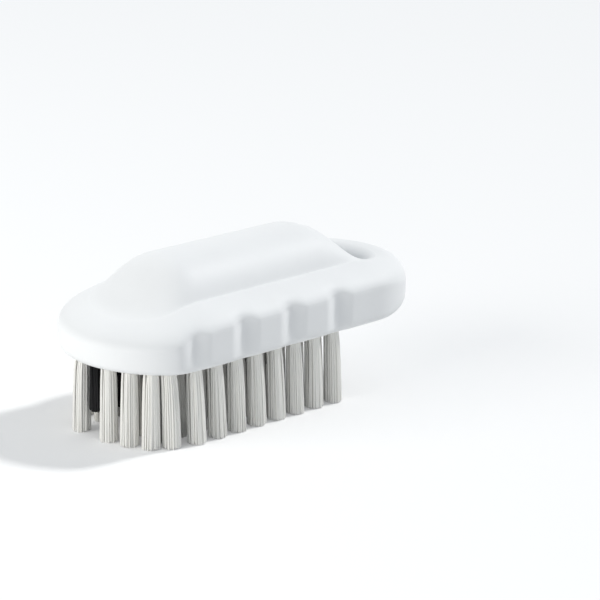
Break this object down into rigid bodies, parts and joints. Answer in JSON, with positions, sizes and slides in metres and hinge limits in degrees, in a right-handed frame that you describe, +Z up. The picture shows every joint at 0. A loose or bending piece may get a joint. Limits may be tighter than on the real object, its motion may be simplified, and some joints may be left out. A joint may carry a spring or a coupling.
{
  "type": "nail brush",
  "caption": "Hand-sized nail brush with a moulded grip, finger grooves, an oval hanging hole and rows of bristle tufts.",
  "frame": {"origin": "middle of the brush's outline, on the surface that the tips of its white bristles stand on", "axes": "+X towards the ring with the hanging hole, +Y across the body, +Z up from the bristle tips to the crown"},
  "size_m": [0.096, 0.043, 0.0394],
  "materials": {
    "white_moulding": "satin",
    "white_bristle": "satin",
    "black_bristle": "satin",
    "anchor_metal": "satin"
  },
  "bodies": {
    "root": {"body": "white_moulding", "tufts_outer_right": "white_bristle", "tufts_middle_right": "white_bristle", "tufts_inner_right": "white_bristle", "tufts_centre": "black_bristle", "tufts_inner_left": "white_bristle", "tufts_middle_left": "white_bristle", "tufts_outer_left": "white_bristle", "anchors_outer_right": "anchor_metal", "anchors_middle_right": "anchor_metal", "anchors_inner_right": "anchor_metal", "anchors_centre": "anchor_metal", "anchors_inner_left": "anchor_metal", "anchors_middle_left": "anchor_metal", "anchors_outer_left": "anchor_metal"}
  },
  "joints": []
}
